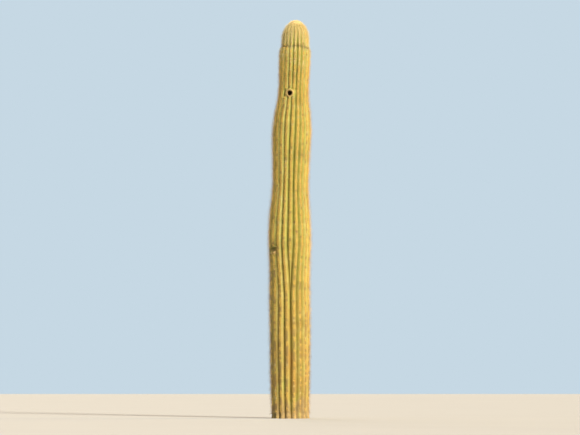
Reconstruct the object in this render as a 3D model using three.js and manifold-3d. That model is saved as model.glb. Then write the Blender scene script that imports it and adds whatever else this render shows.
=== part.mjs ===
// Saguaro cactus: one unbranched, spear-shaped column on level ground, in millimetres, +Z up.
// The origin is the middle of the flat cut at ground level. The side seen from the front faces -Y.
//
// The column is one solid with deep ribs. A new rib starts in the furrow between two old ones, and
// widens until it has a full share of the girth. Each rib carries a line of spine clusters along its
// crest, as a strip of areoles that the spines stand out of. The growing tip is a cap of wool. A nest
// hole with a corky lining is bored into the upper part, and a crease crosses some ribs lower down.

import * as THREE from 'three';
import { mergeVertices } from 'three/addons/utils/BufferGeometryUtils.js';
import Module from 'manifold-3d';

const wasm = await Module();
wasm.setup();

// Driving sizes of the column
const TIP_SEAT_HEIGHT = 3985;
const GIRTH = [ // [height, radius at the rib crests], at each swelling, waist and growth ring
	[0, 192], [80, 184], [420, 192], [1150, 197], [1450, 194], [1830, 203], [2050, 194], [2320, 172],
	[2600, 176], [2880, 186], [3060, 172], [3200, 151], [3320, 141], [3600, 147], [3740, 145],
	[3780, 131], [3840, 127], [3905, 115], [3955, 92], [TIP_SEAT_HEIGHT, 66],
];
const LEAN = [[0, 0], [1900, -7], [2650, 8], [3050, 20], [3500, 40], [4050, 57]]; // [height, X of the axis]
const STATIONS = [ // heights of the rings of points
	0, 80, 300, 650, 1000, 1160, 1330, 1560, 1830, 2060, 2320, 2600, 2880, 3050, 3200, 3320, 3600, 3740, 3780,
	3840, 3905, 3955, TIP_SEAT_HEIGHT,
];
const END_TRIANGLE_RADIUS = 40; // of the large triangle in the middle of each end

// Ribs
const RIBS_AT_GROUND = 18;
const NEW_RIBS = [ // each takes a place in the order round the column, counted from the front rib
	{ place: 0, start: 1120, full: 1850 },
	{ place: 7, start: 820, full: 1500 },
	{ place: 14, start: 1560, full: 2300 },
];
const SEEDLING_SHARE = 0.05; // a rib that hasn't started yet keeps this share, as a hairline in its furrow
const FRONT_RIB_ANGLE = THREE.MathUtils.degToRad(-88);
const POINTS_PER_RIB = 4;
const RIB_DEPTH = [[0, 30], [300, 37], [1900, 36], [3300, 25], [3780, 19], [TIP_SEAT_HEIGHT, 6]];

// Areole strips and their spines
const CLEARANCE = 0.3;
const STRIP_HALF_WIDTH = 6.5;
const STRIP_HEIGHT = 7;
const STRIP_FOOT = 45;
const STRIP_TOPS = [3968, 3930]; // every other row stops lower, where the crests crowd together
const STRIP_END_GAP = 14; // from a strip's end to the rim of the crease
const BARE_RADIUS = 90; // no strip comes nearer to the middle of the nest hole
const STRIP_SUFFIXES = [[''], ['_lower', '_upper'], ['_lower', '_middle', '_upper']]; // by count of strips
const LEAST_RIB_SHARE = 0.7; // a new rib bears spines once it has this share
const RIB_SEARCH_STEP = 5; // upwards, to find where it does
const CLUSTER_SPACING = 200;
const CLUSTER_PLACE = [0.35, 0.65]; // least and most, as a share of each cluster's length of rib
const SPINES_PER_CLUSTER = 2;
const SPINE_LENGTHS = [39, 51]; // least and most
const SPINE_SPLAY = [0.3, 0.6]; // sideways, for each unit outwards
const SPINE_RISE = [-0.75, 0.45]; // along the rib, for each unit outwards
const SPINE_REACH_SHARE = 0.46; // of the space between two crests
const SPINE_ROOT_RADIUS = 2.1;
const SPINE_ROOT_HEIGHT = 2.6;
const SPINE_ROOT_ASIDE = 1.4; // from the ridge, so that a spine leaves through one side of it
const SPINE_SIDES = 3;
const FIRST_ROW_SEED = 100;

// Woolly tip
const WOOL_HEIGHT = 38;
const WOOL_RADIUS = 63;
const WOOL_SIDES = 20;
const WOOL_TIERS = 4;
const TIP_SPINE_RINGS = [[12, 28], [8, 54], [4, 78]]; // [count, rise from level in degrees]
const TIP_SPINE_LENGTHS = [27, 37];
const TIP_SPINE_ROOT = 0.8; // as a share of the way out through the wool
const TIP_SEED = 7;

// Nest hole
const HOLE_HEIGHT = 3276;
const HOLE_RIB = 20;
const HOLE_RADIUS = 26;
const HOLE_SIDES = 20;
const THROAT_STEP = 2; // how far the cork narrows the hole just inside its mouth
const THROAT_DEPTH = 7;
const LINING_THICKNESS = 7;
const LINING_DEPTH = 89;
const LINING_FLOOR = 9;
const LINING_BEVEL = 8;
const LIP_ABOVE_CREST = 8;
const LIP_BEVEL = 4;
const COLLAR_RADIUS = 58;
const COLLAR_TOP_RADIUS = 40;
const COLLAR_SIDE_STEP = 6;
const COLLAR_DEPTH = 30;
const COLLAR_TOP = 4; // above the crests' level

// Crease on the left flank
const CREASE_HEIGHT = 1700;
const CREASE_ANGLE = THREE.MathUtils.degToRad(-140);
const CREASE_HALF_SIZES = new THREE.Vector3(30, 82, 20); // radial, round the column, upright
const CREASE_CENTRE_OUT = 7; // beyond the crests
const CREASE_TILT = THREE.MathUtils.degToRad(5);
const CREASE_SEGMENTS = [14, 8]; // round the hollow, and from end to end
const CREASE_END_SHARE = 0.95; // a crest beyond this share of its half length isn't cut

const UP = new THREE.Vector3(0, 0, 1);

// A finish for each kind of piece
const finishes = {
	skin: new THREE.MeshStandardMaterial({ color: '#8f9448', roughness: 0.62, metalness: 0 }),
	spines: new THREE.MeshStandardMaterial({ color: '#cdae74', roughness: 0.75, metalness: 0 }),
	wool: new THREE.MeshStandardMaterial({ color: '#e6d3a6', roughness: 0.95, metalness: 0 }),
	cork: new THREE.MeshStandardMaterial({ color: '#8c6c45', roughness: 0.9, metalness: 0 }),
};

// A generator of even random numbers from 0 to 1, which gives the same ones for the same seed.
function seeded(seed) {
	let state = seed >>> 0;
	return () => {
		state = (state + 0x6d2b79f5) >>> 0;
		let t = Math.imul(state ^ (state >>> 15), 1 | state);
		t = (t + Math.imul(t ^ (t >>> 7), 61 | t)) ^ t;
		return ((t ^ (t >>> 14)) >>> 0) / 4294967296;
	};
}

function randomBetween([least, most], random) {
	return least + (most - least) * random();
}

// The value at x of a smooth curve through [x, y] knots, with slopes averaged over their neighbours.
function through(knots, x) {
	const last = knots.length - 1;
	if (x <= knots[0][0]) return knots[0][1];
	if (x >= knots[last][0]) return knots[last][1];
	const i = knots.findIndex(([k]) => k > x) - 1;
	const slope = (k) => {
		const a = knots[Math.max(k - 1, 0)];
		const b = knots[Math.min(k + 1, last)];
		return (b[1] - a[1]) / (b[0] - a[0]);
	};
	const [x0, y0] = knots[i];
	const [x1, y1] = knots[i + 1];
	const span = x1 - x0;
	const t = (x - x0) / span;
	return y0 * (1 + 2 * t) * (1 - t) ** 2 + slope(i) * span * t * (1 - t) ** 2
		+ y1 * (3 - 2 * t) * t ** 2 + slope(i + 1) * span * (t - 1) * t ** 2;
}

// The order of the ribs round the column: null for one that reaches the ground, or its new rib.
function ribOrder() {
	const order = new Array(RIBS_AT_GROUND + NEW_RIBS.length).fill(null);
	for (const rib of NEW_RIBS) order[rib.place] = rib;
	return order;
}

const ribs = ribOrder();

// How much of a full rib's width a rib has at a height, from SEEDLING_SHARE to 1.
function ribShare(index, z) {
	const rib = ribs[index];
	if (!rib) return 1;
	return Math.max(SEEDLING_SHARE, THREE.MathUtils.smoothstep(z, rib.start, rib.full));
}

// The crest angle and half width, in radians, of each rib at a height.
function ribLayout(z) {
	const shares = ribs.map((_, i) => ribShare(i, z));
	const unit = 2 * Math.PI / shares.reduce((sum, share) => sum + share, 0);
	let edge = FRONT_RIB_ANGLE - shares[0] * unit / 2;
	return shares.map((share) => {
		const width = share * unit;
		edge += width;
		return { angle: edge - width / 2, half: width / 2, share };
	});
}

// A point on the skin: across runs from -1 in one furrow, through 0 at the crest, to 1 in the next.
function skinPoint(rib, across, z) {
	const depth = through(RIB_DEPTH, z);
	const furrow = through(GIRTH, z) - depth;
	const radius = furrow + depth * rib.share * (1 - across ** 2);
	const angle = rib.angle + rib.half * across;
	return new THREE.Vector3(through(LEAN, z) + radius * Math.cos(angle), radius * Math.sin(angle), z);
}

// One ring of skin points at a height, going round from the front rib's first furrow.
function ringAt(z) {
	const points = [];
	for (const rib of ribLayout(z)) {
		for (let k = 0; k < POINTS_PER_RIB; k++) points.push(skinPoint(rib, 2 * k / POINTS_PER_RIB - 1, z));
	}
	return points;
}

// A triangle mesh as a solid that can be joined and cut.
function toSolid(geometry) {
	const bare = geometry.clone();
	bare.deleteAttribute('normal');
	bare.deleteAttribute('uv');
	const merged = mergeVertices(bare, 1e-4);
	const vertProperties = new Float32Array(merged.attributes.position.array);
	const triVerts = new Uint32Array(merged.index.array);
	return new wasm.Manifold(new wasm.Mesh({ numProp: 3, vertProperties, triVerts }));
}

// A solid as a triangle mesh again, with a flat normal on each face.
function toGeometry(solid) {
	const mesh = solid.getMesh();
	const positions = new Float32Array(mesh.numVert * 3);
	for (let i = 0; i < mesh.numVert; i++) {
		positions.set(mesh.vertProperties.subarray(i * mesh.numProp, i * mesh.numProp + 3), i * 3);
	}
	const geometry = new THREE.BufferGeometry();
	geometry.setAttribute('position', new THREE.BufferAttribute(positions, 3));
	geometry.setIndex(new THREE.BufferAttribute(new Uint32Array(mesh.triVerts), 1));
	const flat = geometry.toNonIndexed();
	flat.computeVertexNormals();
	return flat;
}

// Triangles between rings of the same number of points, and over the two flat ends, each with one large
// triangle in its middle.
function skinOver(rings) {
	const count = rings[0].length;
	const points = rings.flat();
	const faces = [];
	for (let r = 0; r < rings.length - 1; r++) {
		for (let i = 0; i < count; i++) {
			const a = r * count + i;
			const b = r * count + (i + 1) % count;
			faces.push(a, b, b + count, a, b + count, a + count);
		}
	}
	for (const [ring, up] of [[0, false], [rings.length - 1, true]]) {
		const centre = rings[ring].reduce((sum, p) => sum.add(p), new THREE.Vector3()).divideScalar(count);
		const middle = [0, 1, 2].map((k) => {
			const turn = k * 2 * Math.PI / 3;
			const arm = new THREE.Vector2(Math.cos(turn), Math.sin(turn)).multiplyScalar(END_TRIANGLE_RADIUS);
			return arm.add(new THREE.Vector2(centre.x, centre.y));
		});
		const outline = rings[ring].map((p) => new THREE.Vector2(p.x, p.y));
		const numbers = outline.map((_, i) => ring * count + i);
		for (const p of middle) numbers.push(points.push(new THREE.Vector3(p.x, p.y, centre.z)) - 1);
		const cap = THREE.ShapeUtils.triangulateShape(outline, [middle]);
		cap.push([count, count + 1, count + 2]);
		for (const [a, b, c] of cap) {
			const [p, q, s] = [a, b, c].map((k) => points[numbers[k]]);
			const turnsLeft = (q.x - p.x) * (s.y - p.y) - (q.y - p.y) * (s.x - p.x) > 0;
			const corners = turnsLeft === up ? [a, b, c] : [a, c, b];
			faces.push(...corners.map((k) => numbers[k]));
		}
	}
	const geometry = new THREE.BufferGeometry().setFromPoints(points);
	geometry.setIndex(faces);
	return geometry;
}

// The place on the crests' level where the nest hole opens, and the direction out of it.
function holeMouth() {
	const { angle } = ribLayout(HOLE_HEIGHT)[HOLE_RIB];
	const out = new THREE.Vector3(Math.cos(angle), Math.sin(angle), 0);
	const axis = new THREE.Vector3(through(LEAN, HOLE_HEIGHT), 0, HOLE_HEIGHT);
	return { out, mouth: axis.addScaledVector(out, through(GIRTH, HOLE_HEIGHT)) };
}

// Turns a lathe, whose axis is Y, so that it points out of the nest hole from the crests' level.
function placeAtHole(geometry) {
	const { out, mouth } = holeMouth();
	geometry.applyQuaternion(new THREE.Quaternion().setFromUnitVectors(new THREE.Vector3(0, 1, 0), out));
	return geometry.translate(mouth.x, mouth.y, mouth.z);
}

// A solid of revolution about Y, from [radius, y] points that start and end on the axis.
function lathe(profile, sides) {
	return new THREE.LatheGeometry(profile.map(([r, y]) => new THREE.Vector2(r, y)), sides);
}

// The corky cup that lines the nest hole. Its Y is zero at the crests' level.
function liningGeometry() {
	const outer = HOLE_RADIUS + LINING_THICKNESS;
	const lip = LIP_ABOVE_CREST;
	const foot = lip - LINING_DEPTH;
	const floor = foot + LINING_FLOOR;
	const profile = [
		[0, foot], [outer - LINING_BEVEL, foot], [outer, foot + LINING_BEVEL],
		[outer, lip - LIP_BEVEL], [outer - LIP_BEVEL, lip], [HOLE_RADIUS, lip],
		[HOLE_RADIUS - THROAT_STEP, lip - THROAT_DEPTH], [HOLE_RADIUS, lip - 2 * THROAT_DEPTH],
		[HOLE_RADIUS, floor + LINING_BEVEL], [HOLE_RADIUS - LINING_BEVEL, floor], [0, floor],
	];
	return placeAtHole(lathe(profile, HOLE_SIDES));
}

// What is bored out of the column for the lining, with its clearance.
function boreSolid() {
	const radius = HOLE_RADIUS + LINING_THICKNESS + CLEARANCE;
	const foot = LIP_ABOVE_CREST - LINING_DEPTH - CLEARANCE;
	const profile = [[0, foot], [radius, foot], [radius, COLLAR_DEPTH], [0, COLLAR_DEPTH]];
	return toSolid(placeAtHole(lathe(profile, HOLE_SIDES)));
}

// The swollen flesh round the nest hole, which fills the furrows beside it.
function collarSolid() {
	const profile = [
		[0, -COLLAR_DEPTH], [COLLAR_RADIUS, -COLLAR_DEPTH],
		[COLLAR_RADIUS - COLLAR_SIDE_STEP, -COLLAR_DEPTH / 2],
		[COLLAR_TOP_RADIUS, COLLAR_TOP], [0, COLLAR_TOP],
	];
	return toSolid(placeAtHole(lathe(profile, HOLE_SIDES)));
}

// The hollow of the crease: a flattened ball across the ribs of the left flank.
function creaseSolid() {
	const ball = new THREE.SphereGeometry(1, ...CREASE_SEGMENTS);
	ball.scale(CREASE_HALF_SIZES.x, CREASE_HALF_SIZES.y, CREASE_HALF_SIZES.z);
	ball.rotateX(CREASE_TILT);
	ball.rotateZ(CREASE_ANGLE);
	const out = through(GIRTH, CREASE_HEIGHT) + CREASE_CENTRE_OUT;
	const x = through(LEAN, CREASE_HEIGHT) + out * Math.cos(CREASE_ANGLE);
	ball.translate(x, out * Math.sin(CREASE_ANGLE), CREASE_HEIGHT);
	return toSolid(ball);
}

// The whole ribbed column, from the ground to the seat of its woolly tip.
function makeStem() {
	const column = toSolid(skinOver(STATIONS.map(ringAt)));
	return toGeometry(column.add(collarSolid()).subtract(boreSolid()).subtract(creaseSolid()));
}

// How far round the column a rib's crest lies from an angle, at a height.
function asideOf(index, angle, z) {
	const turn = ribLayout(z)[index].angle - angle;
	return Math.atan2(Math.sin(turn), Math.cos(turn)) * through(GIRTH, z);
}

// The heights along one rib that bear no spines, beside the crease and round the nest hole.
function blockedSpans(index) {
	const blocked = [];
	const alongCrease = asideOf(index, CREASE_ANGLE, CREASE_HEIGHT) / CREASE_HALF_SIZES.y;
	if (Math.abs(alongCrease) < CREASE_END_SHARE) {
		const middle = CREASE_HEIGHT + alongCrease * CREASE_HALF_SIZES.y * Math.sin(CREASE_TILT);
		const reach = CREASE_HALF_SIZES.z * Math.sqrt(1 - alongCrease ** 2) + STRIP_END_GAP;
		blocked.push([middle - reach, middle + reach]);
	}
	const fromHole = asideOf(index, ribLayout(HOLE_HEIGHT)[HOLE_RIB].angle, HOLE_HEIGHT);
	if (Math.abs(fromHole) < BARE_RADIUS) {
		const reach = Math.sqrt(BARE_RADIUS ** 2 - fromHole ** 2);
		blocked.push([HOLE_HEIGHT - reach, HOLE_HEIGHT + reach]);
	}
	return blocked;
}

// The heights between which each strip on one rib runs, from the ground up.
function stripSpans(index) {
	let from = STRIP_FOOT;
	const rib = ribs[index];
	if (rib) {
		from = rib.start;
		while (ribShare(index, from) < LEAST_RIB_SHARE) from += RIB_SEARCH_STEP;
	}
	const spans = [];
	for (const [low, high] of blockedSpans(index)) {
		if (high <= from) continue;
		spans.push([from, low]);
		from = high;
	}
	spans.push([from, STRIP_TOPS[index % 2]]);
	return spans;
}

// The crest of one rib as the column has it: straight from one station to the next.
function crestAt(index, z) {
	const above = Math.max(1, STATIONS.findIndex((station) => station >= z));
	const [z0, z1] = [STATIONS[above - 1], STATIONS[above]];
	const [p0, p1] = [z0, z1].map((station) => skinPoint(ribLayout(station)[index], 0, station));
	const along = p1.clone().sub(p0).normalize();
	const point = p0.lerp(p1, (z - z0) / (z1 - z0));
	const radial = new THREE.Vector3(point.x - through(LEAN, z), point.y, 0).normalize();
	const side = new THREE.Vector3().crossVectors(UP, radial).normalize();
	const out = new THREE.Vector3().crossVectors(side, along).normalize();
	return { point, out, side, along };
}

// A slim strip of areoles that runs along a crest, clear of it, with a ridge down its middle.
function stripSolid(index, low, high) {
	const heights = [low, ...STATIONS.filter((z) => z > low + 1 && z < high - 1), high];
	const rings = heights.map((z) => {
		const below = crestAt(index, Math.max(z - 0.5, STATIONS[0]));
		const above = crestAt(index, Math.min(z + 0.5, TIP_SEAT_HEIGHT));
		const out = below.out.clone().add(above.out).normalize();
		const seat = crestAt(index, z).point.addScaledVector(out, CLEARANCE / below.out.dot(out));
		const edge = (turn) => seat.clone().addScaledVector(below.side, turn * STRIP_HALF_WIDTH);
		return [edge(-1), edge(1), seat.clone().addScaledVector(out, STRIP_HEIGHT)];
	});
	return toSolid(skinOverPath(rings));
}

// Triangles over a row of three-cornered sections that run upwards, closed at both ends.
function skinOverPath(rings) {
	const faces = [0, 1, 2];
	for (let r = 0; r < rings.length - 1; r++) {
		for (let i = 0; i < 3; i++) {
			const a = 3 * r + i;
			const b = 3 * r + (i + 1) % 3;
			faces.push(a, b + 3, b, a, a + 3, b + 3);
		}
	}
	const top = 3 * (rings.length - 1);
	faces.push(top, top + 2, top + 1);
	const geometry = new THREE.BufferGeometry().setFromPoints(rings.flat());
	geometry.setIndex(faces);
	return geometry;
}

// A straight three-sided spine from a root point in a direction.
function spineSolid(root, direction, length) {
	const cone = new THREE.ConeGeometry(SPINE_ROOT_RADIUS, length, SPINE_SIDES);
	cone.translate(0, length / 2, 0);
	cone.applyQuaternion(new THREE.Quaternion().setFromUnitVectors(new THREE.Vector3(0, 1, 0), direction));
	cone.translate(root.x, root.y, root.z);
	return toSolid(cone);
}

// The spines of one cluster: they splay sideways in turn and lean up or down, and keep to their own
// half of the space between two crests.
function clusterSpines(index, z, random) {
	const { point, out, side, along } = crestAt(index, z);
	const room = point.distanceTo(crestAt((index + 1) % ribs.length, z).point) * SPINE_REACH_SHARE;
	const spines = [];
	for (let k = 0; k < SPINES_PER_CLUSTER; k++) {
		const hand = k % 2 ? 1 : -1;
		const root = point.clone().addScaledVector(out, SPINE_ROOT_HEIGHT);
		root.addScaledVector(side, hand * SPINE_ROOT_ASIDE);
		const direction = out.clone();
		direction.addScaledVector(side, hand * randomBetween(SPINE_SPLAY, random) * ribShare(index, z) ** 2);
		direction.addScaledVector(along, randomBetween(SPINE_RISE, random)).normalize();
		const most = room / Math.abs(direction.dot(side));
		spines.push(spineSolid(root, direction, Math.min(randomBetween(SPINE_LENGTHS, random), most)));
	}
	return spines;
}

// One rib's row of spines between two heights: the strip with its clusters fused on.
function makeSpineRow(index, low, high, random) {
	const pieces = [stripSolid(index, low, high)];
	const clusters = Math.max(1, Math.floor((high - low) / CLUSTER_SPACING));
	const step = (high - low) / clusters;
	for (let k = 0; k < clusters; k++) {
		const z = low + step * (k + randomBetween(CLUSTER_PLACE, random));
		pieces.push(...clusterSpines(index, z, random));
	}
	return toGeometry(wasm.Manifold.union(pieces));
}

// The felted growing tip, with the youngest spines standing out of it.
function makeTip(random) {
	const profile = [[0, 0], [WOOL_RADIUS, 0]];
	for (let k = 1; k < WOOL_TIERS; k++) {
		const turn = k * Math.PI / 2 / WOOL_TIERS;
		profile.push([WOOL_RADIUS * Math.cos(turn), WOOL_HEIGHT * Math.sin(turn)]);
	}
	profile.push([0, WOOL_HEIGHT]);
	const dome = lathe(profile, WOOL_SIDES).rotateX(Math.PI / 2);
	const reach = new THREE.Vector3(WOOL_RADIUS, WOOL_RADIUS, WOOL_HEIGHT).multiplyScalar(TIP_SPINE_ROOT);
	const pieces = [toSolid(dome)];
	for (const [count, rise] of TIP_SPINE_RINGS) {
		for (let k = 0; k < count; k++) {
			const turn = 2 * Math.PI * (k + 0.5 * random()) / count;
			const lift = THREE.MathUtils.degToRad(rise);
			const level = new THREE.Vector3(Math.cos(turn), Math.sin(turn), 0).multiplyScalar(Math.cos(lift));
			const direction = level.addScaledVector(UP, Math.sin(lift));
			const root = direction.clone().multiply(reach);
			pieces.push(spineSolid(root, direction, randomBetween(TIP_SPINE_LENGTHS, random)));
		}
	}
	const tip = toGeometry(wasm.Manifold.union(pieces));
	return tip.translate(through(LEAN, TIP_SEAT_HEIGHT), 0, TIP_SEAT_HEIGHT + CLEARANCE);
}

const saguaro = new THREE.Group();

function addPiece(name, geometry, finish) {
	const mesh = new THREE.Mesh(geometry, finish);
	mesh.name = name;
	saguaro.add(mesh);
}

addPiece('stem', makeStem(), finishes.skin);
addPiece('nest_hole_lining', liningGeometry(), finishes.cork);
addPiece('woolly_tip', makeTip(seeded(TIP_SEED)), finishes.wool);

ribs.forEach((_, index) => {
	const number = String(index + 1).padStart(2, '0');
	const spans = stripSpans(index);
	const suffixes = STRIP_SUFFIXES[spans.length - 1];
	spans.forEach(([low, high], part) => {
		const random = seeded(FIRST_ROW_SEED + STRIP_SUFFIXES.length * index + part);
		const row = makeSpineRow(index, low, high, random);
		addPiece(`spine_row_${number}${suffixes[part]}`, row, finishes.spines);
	});
});

export default saguaro;
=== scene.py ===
import logging
import math
from dataclasses import dataclass
from enum import Enum
from functools import cached_property

import bpy
import numpy as np
from bpy.types import Material, Node, NodeSocket, NodeTree, Object
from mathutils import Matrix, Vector, noise


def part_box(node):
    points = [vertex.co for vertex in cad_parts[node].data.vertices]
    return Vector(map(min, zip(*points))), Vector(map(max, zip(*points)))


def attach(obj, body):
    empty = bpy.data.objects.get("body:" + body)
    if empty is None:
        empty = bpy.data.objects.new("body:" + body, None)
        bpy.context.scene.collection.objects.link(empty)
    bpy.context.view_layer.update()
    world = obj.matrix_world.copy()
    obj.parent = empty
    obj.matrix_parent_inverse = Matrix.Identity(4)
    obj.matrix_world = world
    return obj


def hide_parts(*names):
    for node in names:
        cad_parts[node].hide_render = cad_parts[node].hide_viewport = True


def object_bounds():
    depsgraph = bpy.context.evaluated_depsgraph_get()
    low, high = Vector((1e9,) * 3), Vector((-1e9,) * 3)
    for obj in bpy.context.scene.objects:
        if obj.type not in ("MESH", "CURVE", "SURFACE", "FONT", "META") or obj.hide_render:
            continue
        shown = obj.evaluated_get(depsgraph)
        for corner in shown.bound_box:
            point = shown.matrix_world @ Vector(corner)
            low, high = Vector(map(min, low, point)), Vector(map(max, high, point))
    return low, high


# The looks of a saguaro column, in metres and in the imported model's own frame: +Z is up and -Y faces
# the camera. A relief skin, fine spines, areole felt, a woolly tip and scar cork stand for the solids.
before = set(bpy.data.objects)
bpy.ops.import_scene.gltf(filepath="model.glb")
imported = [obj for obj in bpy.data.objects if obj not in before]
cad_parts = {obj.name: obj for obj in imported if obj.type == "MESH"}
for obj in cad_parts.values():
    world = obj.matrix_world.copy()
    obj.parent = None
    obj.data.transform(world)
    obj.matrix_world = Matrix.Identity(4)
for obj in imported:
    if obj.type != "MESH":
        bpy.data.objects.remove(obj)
CAD_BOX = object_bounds()

log = logging.getLogger("saguaro")
Array = np.ndarray
Colour = tuple[float, float, float, float]
Span = tuple[float, float]  # two limits, or where a change starts and where it is whole
MM = 0.001
GOLDEN_ANGLE = math.pi * (3 - math.sqrt(5))
ASKEW = (0.31, 0.52, 0.79)  # a direction that next to no spine follows
MIX_FACTOR, MIX_A, MIX_B, MIX_RESULT = 0, 6, 7, 2  # places of a colour Mix node's sockets


def linear(hex_colour: str) -> Colour:
    """Turns an sRGB hex colour to linear light.

    Args:
        hex_colour: the colour as #rrggbb.

    Returns:
        Red, green, blue and an alpha of 1.
    """
    channels = [int(hex_colour[k:k + 2], 16) / 255 for k in (1, 3, 5)]
    lit = [c / 12.92 if c <= 0.04045 else ((c + 0.055) / 1.055) ** 2.4 for c in channels]
    return (*lit, 1.0)


def smoothstep(x: Array, low: float, high: float) -> Array:
    """Rises smoothly from 0 at low to 1 at high.

    Args:
        x: the values to ease.
        low: where the rise starts, above high for a fall.
        high: where it ends.

    Returns:
        The eased shares.
    """
    t = np.clip((x - low) / (high - low), 0, 1)
    return t * t * (3 - 2 * t)


def soft_max(a: Array, b: Array, blend: float) -> Array:
    """The higher of two heights, rounded where they meet.

    Args:
        a: one height.
        b: the other height.
        blend: the length over which they blend.

    Returns:
        The blended heights.
    """
    gap = np.maximum(blend - np.abs(a - b), 0) / blend
    return np.maximum(a, b) + gap * gap * blend / 4


def from_least(share: Array, least: float) -> Array:
    """Lifts a share that runs from 0 to 1, so that it runs from the least to 1."""
    return least + (1 - least) * share


def hump(x: Array, width: float) -> Array:
    """A smooth hump: 1 at 0, falling to about a third at the width on either side."""
    return np.exp(-(x / width) ** 2)


def unit(vectors: Array) -> Array:
    """Scales each vector to a length of 1."""
    return vectors / np.linalg.norm(vectors, axis=-1, keepdims=True)


def wrap(angle: Array) -> Array:
    """Brings angles to between -pi and pi."""
    return (angle + math.pi) % (2 * math.pi) - math.pi


@dataclass(frozen=True)
class Curve:
    """A smooth curve through knots of (x, y), level beyond its ends."""

    knots: tuple[tuple[float, float], ...]

    def at(self, x: Array | float) -> Array:
        """Reads the curve, with each knot's slope averaged over its neighbours.

        Args:
            x: where to read it.

        Returns:
            The curve's y at each x.
        """
        xs, ys = np.array(self.knots).T
        last = len(xs) - 1
        before = np.maximum(np.arange(len(xs)) - 1, 0)
        after = np.minimum(np.arange(len(xs)) + 1, last)
        slopes = (ys[after] - ys[before]) / (xs[after] - xs[before])
        i = np.clip(np.searchsorted(xs, x, side="right") - 1, 0, last - 1)
        span = xs[i + 1] - xs[i]
        t = np.clip((x - xs[i]) / span, 0, 1)
        rise = slopes[i] * t * (1 - t) ** 2 + slopes[i + 1] * (t - 1) * t ** 2
        return ys[i] * (1 + 2 * t) * (1 - t) ** 2 + ys[i + 1] * (3 - 2 * t) * t ** 2 + rise * span


@dataclass(frozen=True)
class Waves:
    """Waves that add up: each one's height, how many go round, how fast it climbs, and its start."""

    terms: tuple[tuple[float, float, float, float], ...]

    def at(self, turn: Array, z: Array | float = 0.0) -> Array:
        """The sum of the waves at angles and heights."""
        return sum(height * np.sin(rounds * turn + climb * z + start)
                   for height, rounds, climb, start in self.terms)


@dataclass(frozen=True)
class Relief:
    """Smooth random relief, the same on each run.

    Each of its sizes is a height, how wide one swell is, a seed and how much it is pressed flat: under 1
    where the swells are drawn out upwards.
    """

    sizes: tuple[tuple[float, float, float, float], ...]

    def at(self, points: Array) -> Array:
        """Reads the relief.

        Args:
            points: rows of x, y, z.

        Returns:
            Its height at each point, at most about the sum of the heights.
        """
        total = np.zeros(points.shape[:-1])
        for height, width, seed, pressed in self.sizes:
            flat = (points * [1, 1, pressed]).reshape(-1, 3) / width + seed
            total += height * np.array([noise.noise(Vector(p)) for p in flat]).reshape(total.shape)
        return total


@dataclass
class Surface:
    """Points, faces and what the faces carry, on their way to a mesh.

    The faces are arrays of corner numbers, of three or four columns.
    """

    points: Array
    faces: list[Array]
    finish_of_face: Array | None = None
    normals: Array | None = None
    attributes: dict[str, Array] | None = None

    @classmethod
    def loft(cls, rings: Array, ends: Array, values: dict[str, Array],
             end_values: Span = (0, 0), normals: Array | None = None) -> "Surface":
        """A closed body: rings of points on each other, with a point in the middle of each end.

        Args:
            rings: the points by ring and by place round it, from the lowest ring.
            ends: the two middle points.
            values: what the rings' points carry, by name.
            end_values: what the two middle points carry.
            normals: the rings' normals, or none to leave them to the faces.

        Returns:
            The surface.
        """
        count, around = rings.shape[:2]
        i = np.arange(around)
        j = (i + 1) % around
        side = [np.stack([i, j, j + around, i + around], 1) + ring * around for ring in range(count - 1)]
        top, middle = (count - 1) * around, np.full_like(i, count * around)
        fans = [np.stack([j, i, middle], 1), np.stack([i + top, j + top, middle + 1], 1)]
        if normals is not None:
            normals = np.concatenate([normals.reshape(-1, 3), [[0, 0, -1], [0, 0, 1]]])
        carried = {key: np.concatenate([value.ravel(), end_values]) for key, value in values.items()}
        return cls(np.concatenate([rings.reshape(-1, 3), ends]), [np.concatenate(side), *fans],
                   normals=normals, attributes=carried)

    @classmethod
    def joined(cls, parts: list[tuple[Array, Array, Array]]) -> "Surface":
        """Many loose bodies as one surface.

        Args:
            parts: the points, the triangles and each triangle's finish of every part.

        Returns:
            The surface.
        """
        points, faces, finishes = zip(*parts)
        starts = np.cumsum([0, *map(len, points)])
        moved = [part + start for part, start in zip(faces, starts)]
        return cls(np.concatenate(points), [np.concatenate(moved)], np.concatenate(finishes))

    def to_object(self, name: str, materials: list[Material], smooth: bool = True) -> Object:
        """Makes the mesh and links it to the scene.

        Args:
            name: the piece's name.
            materials: the finishes that finish_of_face numbers.
            smooth: whether its faces are shaded as one rounded surface.

        Returns:
            The new object, at the origin.
        """
        corners = np.concatenate([f.ravel() for f in self.faces]).astype(np.int32)
        sides = np.concatenate([np.full(len(f), f.shape[1]) for f in self.faces])
        mesh = bpy.data.meshes.new(name)
        mesh.vertices.add(len(self.points))
        mesh.vertices.foreach_set("co", self.points.astype(np.float32).ravel())
        mesh.loops.add(len(corners))
        mesh.loops.foreach_set("vertex_index", corners)
        mesh.polygons.add(len(sides))
        mesh.polygons.foreach_set("loop_start", (np.cumsum(sides) - sides).astype(np.int32))
        for material in materials:
            mesh.materials.append(material)
        if self.finish_of_face is not None:
            mesh.polygons.foreach_set("material_index", self.finish_of_face.astype(np.int32))
        mesh.polygons.foreach_set("use_smooth", np.full(len(sides), smooth))
        for key, values in (self.attributes or {}).items():
            layer = mesh.attributes.new(key, "FLOAT", "POINT")
            layer.data.foreach_set("value", values.astype(np.float32))
        mesh.update(calc_edges=True)
        if self.normals is not None:
            mesh.normals_split_custom_set(self.normals[corners].tolist())
        made = bpy.data.objects.new(name, mesh)
        bpy.context.scene.collection.objects.link(made)
        return made


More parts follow.
